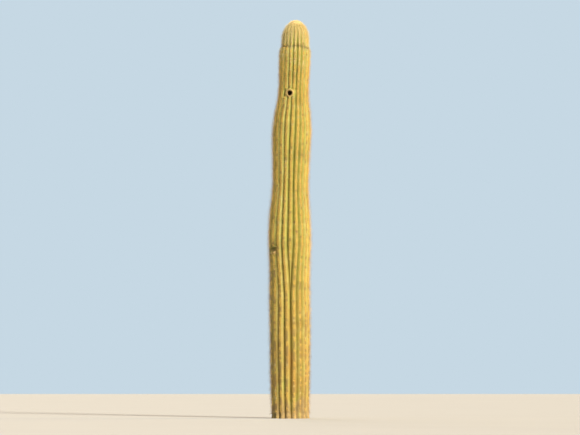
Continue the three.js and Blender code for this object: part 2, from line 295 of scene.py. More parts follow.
def dress(piece: Object, slot: str, *nodes: str) -> Object:
    """Ties a piece to the frame and reports it.

    Args:
        piece: the finished piece.
        slot: the name of the material slot, which is only reported.
        nodes: the CAD nodes that it stands for.

    Returns:
        The same piece.
    """
    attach(piece, "root")
    if nodes:
        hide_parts(*nodes)
    log.info("%s: %d faces, slot %s, stands for %s", piece.name, len(piece.data.polygons), slot, nodes)
    return piece


def add_node(tree: NodeTree, kind: str, settings: dict, inputs: dict) -> Node:
    """Adds a node with its settings and links.

    Args:
        tree: the tree that the node goes into.
        kind: the node's type name.
        settings: its properties, by name.
        inputs: a value, or the socket to link from, for each of its inputs by name or number.

    Returns:
        The new node.
    """
    node = tree.nodes.new(kind)
    for key, value in settings.items():
        setattr(node, key, value)
    for key, value in inputs.items():
        if isinstance(value, NodeSocket):
            tree.links.new(value, node.inputs[key])
        else:
            node.inputs[key].default_value = value
    return node


@dataclass(frozen=True)
class Layer:
    """A colour that lies over those below it by an amount."""

    colour: str | NodeSocket
    amount: NodeSocket
    ease: tuple[float, float, float] | None = None  # where the amount starts and is full, and its most


def lay_colours(tree: NodeTree, below: str, layers: list[Layer]) -> NodeSocket:
    """Lays colours over each other.

    Args:
        tree: the tree that they go into.
        below: the lowest colour.
        layers: the others, in order.

    Returns:
        The socket of the finished colour.
    """
    result = linear(below)
    for layer in layers:
        amount = layer.amount
        if layer.ease:
            low, high, most = layer.ease
            amount = add_node(tree, "ShaderNodeMapRange", {"interpolation_type": "SMOOTHSTEP"}, {
                "Value": amount, "From Min": low, "From Max": high, "To Max": most}).outputs[0]
        above = linear(layer.colour) if isinstance(layer.colour, str) else layer.colour
        result = add_node(tree, "ShaderNodeMix", {"data_type": "RGBA"}, {
            MIX_FACTOR: amount, MIX_A: result, MIX_B: above}).outputs[MIX_RESULT]
    return result


def cracked_cork(tree: NodeTree, place: NodeSocket, size: float, wander: float) -> NodeSocket:
    """Adds the pattern of drying cork: uneven flakes between crooked cracks.

    Args:
        tree: the tree that it goes into.
        place: the socket that gives the place on the object.
        size: how wide a flake is.
        wander: how far the cracks stray from straight lines.

    Returns:
        The socket that gives 0 in a crack, rising towards the middle of a flake.
    """
    stray = add_node(tree, "ShaderNodeTexNoise", {}, {"Vector": place, "Scale": 0.6 / size, "Detail": 3.0})
    middle = add_node(tree, "ShaderNodeVectorMath", {"operation": "SUBTRACT"}, {
        0: stray.outputs["Color"], 1: (0.5, 0.5, 0.5)})
    crooked = add_node(tree, "ShaderNodeVectorMath", {"operation": "MULTIPLY_ADD"}, {
        0: middle.outputs["Vector"], 1: (2 * wander, 2 * wander, 2 * wander), 2: place})
    return add_node(tree, "ShaderNodeTexVoronoi", {"feature": "DISTANCE_TO_EDGE"}, {
        "Vector": crooked.outputs["Vector"], "Scale": 1 / size}).outputs["Distance"]


class Finish:
    """What every finish shares: each kind has a title, and gives its pattern to one shader."""

    title: str

    def pattern(self, tree: NodeTree) -> dict:
        """Adds the nodes of the pattern, and gives the shader's inputs."""
        raise NotImplementedError

    def material(self) -> Material:
        """Makes the material.

        Returns:
            The new material.
        """
        material = bpy.data.materials.new(self.title)
        material.use_nodes = True
        tree = material.node_tree
        tree.nodes.clear()
        shader = add_node(tree, "ShaderNodeBsdfPrincipled", {}, self.pattern(tree))
        add_node(tree, "ShaderNodeOutputMaterial", {}, {"Surface": shader.outputs["BSDF"]})
        return material


@dataclass(frozen=True)
class LivingSkin(Finish):
    """Saguaro cuticle: a tough living skin grown under a coat of natural wax.

    The wax gives it a soft, broad shine and a pale bloom. Sunburn turns the crests yellow, and the furrows
    are painted a darker, duller green: partly the green of skin kept from the sun, partly painted shade.
    Where the plant was hurt, or is very old, the skin turns to matt grey-brown cork.
    """

    title: str = "waxy_cactus_skin"
    furrow: str = "#7e8040"
    flank: str = "#8c9349"
    crest: str = "#a09f54"
    bloom: str = "#aaa973"
    patch: str = "#8c7e48"
    band: str = "#787c3e"
    fleck: str = "#776c39"
    shadow: str = "#2c2716"
    young: str = "#a49c69"
    old: str = "#97763e"
    bark: str = "#6b6050"
    cork_light: str = "#c6b283"
    cork_dark: str = "#9b8356"
    ior: float = 1.45
    wax_roughness: float = 0.56
    cork_roughness: float = 0.92
    bloom_size: float = 90 * MM
    band_size: float = 110 * MM
    band_squash: tuple[float, float, float] = (0.25, 0.25, 1.0)  # draws the bands out round the column
    patch_size: float = 38 * MM
    fleck_size: float = 11 * MM
    wrinkle_size: float = 3.5 * MM  # real wrinkles are about 1 mm apart, too fine to show
    wrinkle_height: float = 1.0 * MM
    crack_size: float = 4 * MM
    crack_wander: float = 6 * MM

    def pattern(self, tree: NodeTree) -> dict:
        """Adds its pattern, with cork, shade and young growth where the mesh says so.

        Args:
            tree: the material's tree.

        Returns:
            The shader's inputs.
        """
        place = add_node(tree, "ShaderNodeTexCoord", {}, {}).outputs["Object"]
        drawn_out = add_node(tree, "ShaderNodeMapping", {}, {
            "Vector": place, "Scale": self.band_squash}).outputs["Vector"]
        crest, cork, shade, young, old, bark = (
            add_node(tree, "ShaderNodeAttribute", {"attribute_name": name}, {}).outputs["Fac"]
            for name in ("crest", "cork", "shade", "young", "old", "bark"))
        bloom, band, patch, fleck, wrinkle = (
            add_node(tree, "ShaderNodeTexNoise", {}, {
                "Vector": vector, "Scale": 1 / size, "Detail": detail}).outputs["Fac"]
            for vector, size, detail in (
                (place, self.bloom_size, 3.0), (drawn_out, self.band_size, 2.0),
                (place, self.patch_size, 4.0), (place, self.fleck_size, 3.0),
                (place, self.wrinkle_size, 3.0)))
        cracks = cracked_cork(tree, place, self.crack_size, self.crack_wander)
        weathered = lay_colours(tree, self.cork_dark, [
            Layer(self.cork_light, cracks, (0.0, 0.4, 1.0)), Layer(self.bark, bark)])
        # The furrows are painted darker than the flanks and crests, partly as painted shade in the furrows.
        colour = lay_colours(tree, self.furrow, [
            Layer(self.flank, crest, (0.0, 0.5, 1.0)), Layer(self.crest, crest, (0.45, 1.0, 0.9)),
            Layer(self.bloom, bloom, (0.48, 0.68, 0.45)), Layer(self.band, band, (0.48, 0.68, 0.6)),
            Layer(self.patch, patch, (0.5, 0.66, 0.55)), Layer(self.fleck, fleck, (0.52, 0.7, 0.55)),
            Layer(self.young, young), Layer(self.old, old), Layer(weathered, cork),
            Layer(self.shadow, shade)])
        roughness = add_node(tree, "ShaderNodeMapRange", {}, {
            "Value": cork, "To Min": self.wax_roughness, "To Max": self.cork_roughness})
        height = add_node(tree, "ShaderNodeMath", {"operation": "MULTIPLY_ADD"}, {
            0: cracks, 1: cork, 2: wrinkle})
        bump = add_node(tree, "ShaderNodeBump", {}, {
            "Height": height.outputs[0], "Distance": self.wrinkle_height, "Strength": 0.6})
        return {"Base Color": colour, "Roughness": roughness.outputs[0], "Normal": bump.outputs["Normal"],
                "IOR": self.ior}


@dataclass(frozen=True)
class ScarCork(Finish):
    """Wound cork: dead corky cells that the plant lays down over a cut, cracked as they dry.

    It is matt and light brown with dark cracks. Painted shade darkens the inside of a nest hole.
    """

    title: str = "scar_cork"
    ridge: str = "#aa9863"
    crack: str = "#7c6a44"
    inside: str = "#4d3a27"
    roughness: float = 0.92
    crack_size: float = 4.5 * MM
    crack_wander: float = 4.5 * MM
    grain_size: float = 2.5 * MM
    relief: float = 0.7 * MM

    def pattern(self, tree: NodeTree) -> dict:
        """Adds its pattern, with painted shade where the mesh says that it lies deep.

        Args:
            tree: the material's tree.

        Returns:
            The shader's inputs.
        """
        place = add_node(tree, "ShaderNodeTexCoord", {}, {}).outputs["Object"]
        deep = add_node(tree, "ShaderNodeAttribute", {"attribute_name": "deep"}, {}).outputs["Fac"]
        cracks = cracked_cork(tree, place, self.crack_size, self.crack_wander)
        grains = add_node(tree, "ShaderNodeTexNoise", {}, {
            "Vector": place, "Scale": 1 / self.grain_size, "Detail": 3.0}).outputs["Fac"]
        # Painted shade: the inside colour covers what lies deep in the hole.
        colour = lay_colours(tree, self.crack, [
            Layer(self.ridge, cracks, (0.0, 0.4, 1.0)), Layer(self.inside, deep)])
        height = add_node(tree, "ShaderNodeMath", {"operation": "ADD"}, {0: cracks, 1: grains})
        bump = add_node(tree, "ShaderNodeBump", {}, {"Height": height.outputs[0], "Distance": self.relief})
        return {"Base Color": colour, "Roughness": self.roughness, "Normal": bump.outputs["Normal"]}


class Tint(Enum):
    """The tints of one material, each an sRGB hex colour."""

    @property
    def number(self) -> int:
        """The tint's place among a piece's finishes."""
        return list(type(self)).index(self)


class SpineTint(Tint):
    """The tints of a dry spine, from the youngest to the oldest, and its tip."""

    CREAM = "#cdc191"
    GOLD = "#dbbf6a"
    STRAW = "#cdaf63"
    GREY = "#9a845a"
    DARK_TIP = "#7f5f3c"


@dataclass(frozen=True)
class DrySpine(Finish):
    """Cactus spine: a hard, dry, horn-like needle of dead fibres with a smooth skin.

    It has a low shine, like horn. It is cream when young, turns golden and at last grey.
    """

    tint: SpineTint
    roughness: float = 0.42
    ior: float = 1.53

    @property
    def title(self) -> str:
        """The material's name, with its tint."""
        return f"dry_spine_{self.tint.name.lower()}"

    def pattern(self, tree: NodeTree) -> dict:
        """One plain tint, because spray deals out the tints by place."""
        return {"Base Color": linear(self.tint.value), "Roughness": self.roughness, "IOR": self.ior}


class FeltTint(Tint):
    """The tints of areole felt, from fresh to weathered."""

    FRESH = "#d2c292"
    TAN = "#ab955c"
    WEATHERED = "#8b7d58"


@dataclass(frozen=True)
class AreoleFelt(Finish):
    """Areole felt: a cushion of short dense plant hairs that the spines grow out of.

    It is matt, with a soft bright rim where the hairs catch the light.
    """

    tint: FeltTint
    roughness: float = 0.95
    sheen: float = 0.3

    @property
    def title(self) -> str:
        """The material's name, with its tint."""
        return f"areole_felt_{self.tint.name.lower()}"

    def pattern(self, tree: NodeTree) -> dict:
        """One plain tint, because build_felt deals out the tints by place."""
        return {"Base Color": linear(self.tint.value), "Roughness": self.roughness,
                "Sheen Weight": self.sheen}


@dataclass(frozen=True)
class TipWool(Finish):
    """Tip wool: the felt of the newest areoles, matted together over the growing point.

    It is cream with tan clumps at random, and painted shade darkens the hollows between tufts. It looks soft
    and without shine.
    """

    title: str = "tip_wool"
    tuft: str = "#d9cba3"
    hollow: str = "#b9a174"
    roughness: float = 0.95
    sheen: float = 0.4
    clump_size: float = 7 * MM
    hair_size: float = 1.5 * MM  # real hairs are a tenth as thick, too fine to show
    hair_height: float = 1.2 * MM

    def pattern(self, tree: NodeTree) -> dict:
        """Adds its pattern, with painted shade in the hollows.

        Args:
            tree: the material's tree.

        Returns:
            The shader's inputs.
        """
        place = add_node(tree, "ShaderNodeTexCoord", {}, {}).outputs["Object"]
        hollow = add_node(tree, "ShaderNodeAttribute", {"attribute_name": "hollow"}, {}).outputs["Fac"]
        clumps, hairs = (
            add_node(tree, "ShaderNodeTexNoise", {}, {
                "Vector": place, "Scale": 1 / size, "Detail": 2.0}).outputs["Fac"]
            for size in (self.clump_size, self.hair_size))
        # Tan clumps at random, and painted shade in the hollows between tufts.
        amount = add_node(tree, "ShaderNodeMath", {"operation": "MULTIPLY_ADD", "use_clamp": True}, {
            0: clumps, 1: 0.5, 2: hollow})
        eased = add_node(tree, "ShaderNodeMapRange", {}, {"Value": amount.outputs[0], "From Min": 0.2})
        colour = lay_colours(tree, self.tuft, [Layer(self.hollow, eased.outputs[0])])
        bump = add_node(tree, "ShaderNodeBump", {}, {"Height": hairs, "Distance": self.hair_height})
        return {"Base Color": colour, "Roughness": self.roughness, "Sheen Weight": self.sheen,
                "Normal": bump.outputs["Normal"]}


@dataclass(frozen=True)
class PaleBoard(Finish):
    """Matt painted board: a flat coat with faint clouds, so pale that shadows show softly on it."""

    title: str = "pale_floor"
    coat: str = "#a8b2c3"
    cloud: str = "#aeb8c8"
    roughness: float = 0.9
    cloud_size: float = 5 / 3

    def pattern(self, tree: NodeTree) -> dict:
        """Adds its clouds.

        Args:
            tree: the material's tree.

        Returns:
            The shader's inputs.
        """
        place = add_node(tree, "ShaderNodeTexCoord", {}, {}).outputs["Object"]
        clouds = add_node(tree, "ShaderNodeTexNoise", {}, {
            "Vector": place, "Scale": 1 / self.cloud_size, "Detail": 2.0}).outputs["Fac"]
        return {"Base Color": lay_colours(tree, self.coat, [Layer(self.cloud, clouds)]),
                "Roughness": self.roughness}


@dataclass(frozen=True)
class NewRib:
    """A rib that starts above the ground, between two older ones."""

    place: int  # in the order round the column
    start: float  # the height where it starts
    full: float  # the height where it is as wide as the others


@dataclass(frozen=True)
class Column:
    """The ribbed column: its girth, its lean, and how its ribs and areoles are laid out."""

    top: float = 3.985
    girth: Curve = Curve((
        (0, 0.192), (0.08, 0.184), (0.42, 0.192), (1.15, 0.197), (1.45, 0.194), (1.83, 0.203),
        (2.05, 0.194), (2.32, 0.172), (2.6, 0.176), (2.88, 0.186), (3.06, 0.172), (3.2, 0.151),
        (3.32, 0.141), (3.6, 0.147), (3.74, 0.145), (3.78, 0.131), (3.84, 0.127), (3.905, 0.115),
        (3.955, 0.092), (3.985, 0.066),
    ))
    lean: Curve = Curve(((0, 0), (1.9, -0.007), (2.65, 0.008), (3.05, 0.02), (3.5, 0.04), (4.05, 0.057)))
    rib_depth: Curve = Curve((
        (0, 0.03), (0.3, 0.037), (1.9, 0.036), (3.3, 0.025), (3.78, 0.019), (3.985, 0.006)))
    sway: Waves = Waves(((0.008, 2, 5.1, 0.6), (0.0048, 5, -8.3, 2.2)))  # radians that a rib wanders aside
    swell: Waves = Waves(((0.0013, 3, 7.9, 1.3), (0.00091, 7, -13.1, 0.4), (0.00078, 2, 31.0, 0.0)))
    ribs: int = 21
    new_ribs: tuple[NewRib, ...] = (NewRib(0, 1.12, 1.85), NewRib(7, 0.82, 1.5), NewRib(14, 1.56, 2.3))
    seedling_share: float = 0.05  # a new rib's share of a full one before it starts
    front_rib: float = math.radians(-88)  # the first rib's angle, near the middle of the front
    areole_gap: Curve = Curve((
        (0, 0.026), (1.5, 0.024), (3.0, 0.021), (3.6, 0.018), (3.8, 0.014), (3.9, 0.0105), (3.985, 0.008)))
    table_length: int = 4000

    def layout(self, z: Array) -> tuple[Array, Array, Array]:
        """Shares the girth out among the ribs.

        Args:
            z: heights.

        Returns:
            Each rib's crest angle, half width and share, with a row for each height.
        """
        share = np.ones((len(z), self.ribs))
        for rib in self.new_ribs:
            share[:, rib.place] = np.maximum(self.seedling_share, smoothstep(z, rib.start, rib.full))
        width = share * (2 * math.pi / share.sum(1))[:, None]
        middle = self.front_rib - width[:, :1] / 2 + np.cumsum(width, 1) - width / 2
        return middle, width / 2, share

    def axis(self, z: Array) -> Array:
        """The column's middle at heights."""
        return np.stack([self.lean.at(z), 0 * z, z], -1)

    def turn_of(self, points: Array) -> Array:
        """The angle of points round the column's middle."""
        return np.arctan2(points[..., 1], points[..., 0] - self.lean.at(points[..., 2]))

    def place(self, angle: Array, half: Array, share: Array, across: Array, z: Array,
              lift: Array) -> Array:
        """Points on the skin.

        Args:
            angle: the rib's crest angle.
            half: its half width.
            share: its share of a full rib.
            across: from -1 in one furrow, through 0 at the crest, to 1 in the next.
            z: the height.
            lift: how far out of the skin.

        Returns:
            The points, with x, y, z along the last axis.
        """
        depth = self.rib_depth.at(z)
        radius = self.girth.at(z) - depth + depth * share * (1 - across ** 2) + self.swell.at(angle, z) + lift
        turn = angle + half * across + self.sway.at(angle, z)
        return np.stack([self.lean.at(z) + radius * np.cos(turn), radius * np.sin(turn), z + 0 * turn], -1)

    def radius_at(self, turn: Array, z: Array) -> Array:
        """The skin's radius at any angle, without its sway and swell.

        Args:
            turn: angles round the axis.
            z: a height for each.

        Returns:
            The radii.
        """
        angle, half, share = self.layout(z)
        across = wrap(turn[:, None] - angle) / half
        rib = np.argmin(np.abs(across), 1)
        row = np.arange(len(z))
        depth = self.rib_depth.at(z)
        rise = 1 - np.minimum(across[row, rib] ** 2, 1)
        return self.girth.at(z) - depth + depth * share[row, rib] * rise

    @cached_property
    def areole_table(self) -> tuple[Array, Array]:
        """Adds up a rib's areoles from the ground.

        Returns:
            Heights, and how many areoles a rib has below each of them.
        """
        z = np.linspace(0, self.top, self.table_length)
        steps = np.diff(z) / self.areole_gap.at((z[1:] + z[:-1]) / 2)
        return z, np.concatenate([[0], np.cumsum(steps)])

    def count_at(self, z: Array) -> Array:
        """How many areoles a rib has below a height."""
        return np.interp(z, *self.areole_table)

    def height_of(self, count: Array) -> Array:
        """The height that has so many areoles of a rib below it."""
        heights, counts = self.areole_table
        return np.interp(count, counts, heights)

    def stagger(self, rib: int) -> float:
        """The part of a gap by which a rib's areoles lie above those of the first rib."""
        return 0.5 * (rib % 2) + 0.13 * math.sin(2.4 * rib)


@dataclass(frozen=True)
class NestHole:
    """A nest hole in the upper part, its swollen collar, and the cork cup that lines it."""

    column: Column
    height: float = 3.276
    rib: int = 20
    radius: float = 0.026
    wall: float = 0.007
    depth: float = 0.089
    floor: float = 0.009
    rim: float = 0.008  # how far the lining stands above the crests' level
    spineless: float = 0.06  # no areole lies nearer to its middle
    flange: float = 0.039
    around: int = 72
    ragged_above: float = -0.02  # the level above which its wall is ragged
    wrinkled_above: float = -0.03  # the level above which its wall is wrinkled
    collar: Curve = Curve((
        (0.034, 0.0045), (0.04, 0.0035), (0.047, -0.005), (0.053, -0.016), (0.059, -0.032), (0.07, -0.075),
    ))  # (distance from the middle, level from the crests)
    blend: float = 0.008  # how softly the collar meets the ribs
    reach: float = 0.07  # how far from its middle the skin is changed
    through: float = -0.1  # the level below which points are the column's far side
    pit_edge: Span = (0.005, 0.011)  # how far inside the flange the pit starts, and is deep
    pit_spare: float = 0.008  # how much deeper the pit is than the lining
    cork_reach: float = 0.003  # how far past the flange the skin is corky
    cork_fade: Span = (0.004, -0.003)  # past that, where the cork ends, and where it is whole
    dark_below: Span = (0.01, 0.065)  # how far below the lip it darkens, and is darkest
    ragged: Waves = Waves(((0.05, 3, 0, 1), (0.03, 7, 0, 2), (0.02, 13, 0, 0)))
    crown: Waves = Waves(((0.0006, 5, 0, 2), (0.0005, 11, 0, 0)))
    cork_edge: Waves = Waves(((0.0025, 3, 0, 0.5), (0.0015, 7, 0, 0)))
    wrinkles: Relief = Relief(((0.0011, 0.006, 3.1, 1), (0.0014, 0.017, 8.4, 1)))

    @cached_property
    def mouth(self) -> tuple[Array, Array, Array]:
        """Finds the mouth on the column.

        Returns:
            Its middle on the crests' level, the way out of it, and the way aside.
        """
        turn = self.column.layout(np.array([self.height]))[0][0, self.rib]
        out = np.array([math.cos(turn), math.sin(turn), 0])
        aside = np.array([-math.sin(turn), math.cos(turn), 0])
        return self.column.axis(self.height) + out * self.column.girth.at(self.height), out, aside

    def local(self, points: Array) -> tuple[Array, Array, Array]:
        """Where points lie from the mouth.

        Args:
            points: points on the skin.

        Returns:
            Their level from the crests', their place from the middle on that level, and its distance.
        """
        mouth, out, _ = self.mouth
        level = (points - mouth) @ out
        flat = points - mouth - level[..., None] * out
        return level, flat, np.linalg.norm(flat, axis=-1)

    def carve(self, points: Array) -> tuple[Array, Array]:
        """Raises the collar round the mouth and sinks the pit for the lining.

        Args:
            points: the skin's points.

        Returns:
            The moved points, and how corky each is.
        """
        _, out, aside = self.mouth
        level, flat, away = self.local(points)
        near = (away < self.reach) & (level > self.through)
        raised = soft_max(level, self.collar.at(away), self.blend)
        outer, inner = self.pit_edge
        pit = smoothstep(away, self.flange - outer, self.flange - inner) * (self.depth + self.pit_spare)
        lifted = np.where(near, raised - pit - level, 0)
        edge = self.flange + self.cork_reach + self.cork_edge.at(np.arctan2(flat[..., 2], flat @ aside))
        cork = np.where(near, smoothstep(away - edge, *self.cork_fade), 0)
        return points + lifted[..., None] * out, cork

    def clear_of(self, points: Array) -> Array:
        """Whether each point is far enough from the hole to bear spines."""
        level, _, away = self.local(points)
        return (away > self.spineless) | (level < self.through)

    def skin_level(self, aside: Array, up: Array) -> Array:
        """The skin's level at places round the mouth.

        Args:
            aside: how far round the column from the middle.
            up: how far above the middle.

        Returns:
            The level from the crests', with the collar on.
        """
        mouth, out, side = self.mouth
        z = self.height + up
        axis = self.column.axis(z)[:, :2]
        forward = (mouth[:2] - axis) @ out[:2]
        across = (mouth[:2] - axis) @ side[:2] + aside
        radius = np.full_like(z, self.column.girth.at(self.height))
        for _ in range(4):
            turn = math.atan2(out[1], out[0]) + np.arcsin(across / radius)
            radius = self.column.radius_at(turn, z)
        plain = np.sqrt(radius ** 2 - across ** 2) - forward
        return soft_max(plain, self.collar.at(np.hypot(aside, up)), self.blend)

    def build(self, finish: Material) -> Object:
        """Makes the cork cup: a rough lip that grips the skin, and a smooth deep bowl.

        Args:
            finish: the scar cork.

        Returns:
            The finished piece.
        """
        mouth, out, side = self.mouth
        turn = np.arange(self.around) * 2 * math.pi / self.around
        ragged = 1 + self.ragged.at(turn)
        skin = self.skin_level(self.flange * ragged * np.cos(turn), self.flange * ragged * np.sin(turn))
        crown = self.rim - 0.0006 + self.crown.at(turn)
        lip, foot = crown.mean(), self.rim - self.depth
        bowl = foot + self.floor
        outer = self.radius + self.wall
        steps = [  # (distance from the middle, level), from the foot outside to the floor inside
            (outer - 0.01, foot), (outer, foot + 0.008), (outer, -0.04), (outer, -0.014),
            (self.flange - 0.004, skin - 0.01), (self.flange, skin - 0.005),
            (self.flange - 0.001, skin - 0.0008), (outer + 0.004, crown - 0.0024),
            (outer + 0.002, crown - 0.0009), (outer - 0.001, crown),
            (outer - 0.004, crown - 0.0006), (self.radius + 0.001, crown - 0.0025),
            (self.radius - 0.0015, lip - 0.006), (self.radius - 0.002, lip - 0.01),
            (self.radius - 0.001, lip - 0.016), (self.radius, lip - 0.026), (self.radius, -0.045),
            (self.radius, bowl + 0.012), (self.radius - 0.004, bowl + 0.004), (self.radius - 0.012, bowl),
        ]
        away = np.array([step[0] for step in steps])[:, None]
        level = np.array([step[1] + 0 * turn for step in steps])
        mean = level.mean(1, keepdims=True)
        on_wall = away > self.radius - 0.003
        reach = away * np.where(on_wall & (mean > self.ragged_above), ragged, 1)
        points = (mouth + (reach * np.cos(turn))[..., None] * side + level[..., None] * out
                  + (reach * np.sin(turn))[..., None] * [0, 0, 1])
        shown = on_wall & (mean > self.wrinkled_above)
        points = points + (self.wrinkles.at(points) * shown)[..., None] * out
        # Painted shade: the cup darkens below the lip, where little light reaches.
        deep = smoothstep(mean, lip - self.dark_below[0], lip - self.dark_below[1]) + 0 * level
        ends = np.array([mouth + out * foot, mouth + out * bowl])
        surface = Surface.loft(points, ends, {"deep": deep}, (0, 1))
        return dress(surface.to_object("nest_hole_cork", [finish]), "cork", "nest_hole_lining")


@dataclass(frozen=True)
class Crease:
    """A crease across the ribs of the left flank, healed with a corky lower lip."""

    column: Column
    height: float = 1.7
    angle: float = math.radians(-140)
    half_depth: float = 0.036
    half_round: Span = (0.088, 0.046)  # towards the back, and towards the front
    deepest_up: float = 0.008  # how far its deepest line lies above its middle
    upper_wall: float = 0.012
    lower_wall: float = 0.029
    centre_out: float = 0.007
    tilt: float = math.radians(5)
    lip_below: float = 0.037
    lip_rise: float = 0.013
    lip_width: float = 0.012
    overhang: float = 0.007  # how far the upper edge bulges over the crease
    overhang_up: float = 0.006  # how far above that edge it bulges most
    overhang_width: float = 0.008
    past_ends: float = 1.08  # how far the lip and the overhang run, as a share of the crease's length
    # What is left of each in a furrow, as a share of what it is on a crest.
    wall_in_furrow: float = 0.6
    lip_in_furrow: float = 0.2
    overhang_in_furrow: float = 0.3
    sink_in_furrow: float = 0.1
    cork_below: float = 0.02  # how far below its middle the cork has its own middle
    cork_height: Span = (0.06, 0.045)  # from there, where it ends, and where it is whole
    shade_up: float = 0.001  # how far above the deepest line it is darkest
    shade_width: float = 0.0055
    spineless: Span = (0.054, 0.032)  # below its middle and above it, how far it is bare
    ragged: Waves = Waves(((0.07, 130, 0, 0), (0.05, 290, 0, 1)))
    strewn: Relief = Relief(((0.3, 0.014, 7.7, 1), (0.2, 0.005, 3.3, 1)))

    def local(self, points: Array) -> tuple[Array, Array, Array]:
        """Where points lie from the crease's middle line.

        Args:
            points: points on the skin.

        Returns:
            The distance round the column, the same as a share of the crease's length on that side,
            and the distance upwards.
        """
        along = wrap(self.column.turn_of(points) - self.angle) * self.column.girth.at(self.height)
        reach = np.where(along < 0, *self.half_round)
        return along, along / reach, points[..., 2] - self.height - along * math.sin(self.tilt)

    def carve(self, points: Array) -> tuple[Array, Array, Array]:
        """Sinks the crease, rolls its upper edge over it and raises its lip.

        Args:
            points: the skin's points.

        Returns:
            The moved points, how corky each is, and how much it lies in shade.
        """
        along, share, up = self.local(points)
        above = up - self.deepest_up
        outwards = points - self.column.axis(points[..., 2])
        radius = np.linalg.norm(outwards, axis=-1)
        level = radius - self.column.girth.at(points[..., 2])
        # How proud the skin is: 0 in a furrow, 1 on a crest.
        proud = np.clip(1 + level / self.column.rib_depth.at(self.height), 0, 1)
        wall = np.where(above > 0, self.upper_wall, self.lower_wall) * from_least(proud, self.wall_in_furrow)
        edge = np.hypot(share, above / wall) + self.ragged.at(along)
        sink = np.maximum(self.half_depth * np.sqrt(np.maximum(1 - edge ** 2, 0)) - self.centre_out, 0)
        sink = sink * from_least(proud, self.sink_in_furrow)
        reach = np.maximum(1 - (share / self.past_ends) ** 2, 0)
        lip = reach * from_least(proud, self.lip_in_furrow) * hump(up + self.lip_below, self.lip_width)
        brow = reach * from_least(proud, self.overhang_in_furrow)
        brow = brow * hump(above - self.upper_wall - self.overhang_up, self.overhang_width)
        moved = self.lip_rise * lip + self.overhang * brow - sink
        # Cork covers the lip and the lower wall in uneven patches, most on the crests.
        rim = reach * hump(up + self.lip_below, 1.25 * self.lip_width)
        healed = smoothstep(edge, 1.25, 0.9) * smoothstep(above, 0.0, -0.012)
        strewn = self.strewn.at(points)
        cork = smoothstep((1.3 * rim + healed) * proud ** 0.7 + strewn, 0.3, 0.85)
        cork = cork * smoothstep(np.abs(up + self.cork_below), *self.cork_height)
        cork = cork * smoothstep(np.abs(share), 1.15, 0.95)
        # Painted shade: a dark line just above the deepest line, under the brow, most on the crests.
        dark = (0.65 + strewn) * proud * smoothstep(np.abs(share), 1.05, 0.6)
        dark = dark * hump(above - self.shade_up, self.shade_width)
        return points + outwards * (moved / radius)[..., None], cork, dark

    def clear_of(self, points: Array) -> Array:
        """Keeps areoles out of the crease and off its lip.

        Args:
            points: points on the skin.

        Returns:
            Whether each is far enough from the crease to bear spines.
        """
        _, share, up = self.local(points)
        return (np.abs(share) > 1.02) | (np.abs(up) > np.where(up < 0, *self.spineless))


@dataclass(frozen=True)
class GrowthRing:
    """A narrow waist where one year's growth ended."""

    height: float
    depth: float
    half_height: float
    darkening: float  # how dark its middle is, from 0 to 1
    tilt: float = 0.0  # how far it lies lower on the right than in the middle

    def nearness(self, z: Array, turn: Array, spread: float = 1.0) -> Array:
        """How near places are to its middle line, which wanders a little, from 0 to 1.

        Args:
            z: the heights.
            turn: the angles round the axis.
            spread: widens or narrows the ring.

        Returns:
            The shares.
        """
        wander = Waves(((0.004, 3, 40, 0), (0.0025, 8, 17, 0))).at(turn, self.height)
        return hump(z - (self.height - self.tilt * np.cos(turn) + wander), spread * self.half_height)


@dataclass(frozen=True)
class Scar:
    """A small corky spot on the skin, a little taller than it is wide."""

    height: float
    angle: float
    radius: float

    def nearness(self, z: Array, turn: Array, girth: float) -> Array:
        """How near places are to its middle, from 0 outside it to 1.

        Args:
            z: the heights.
            turn: the angles round the axis.
            girth: the column's radius beside it.

        Returns:
            The shares.
        """
        away = np.hypot(wrap(turn - self.angle) * girth, 0.8 * (z - self.height))
        return smoothstep(away, 1.9 * self.radius, 0.8 * self.radius)


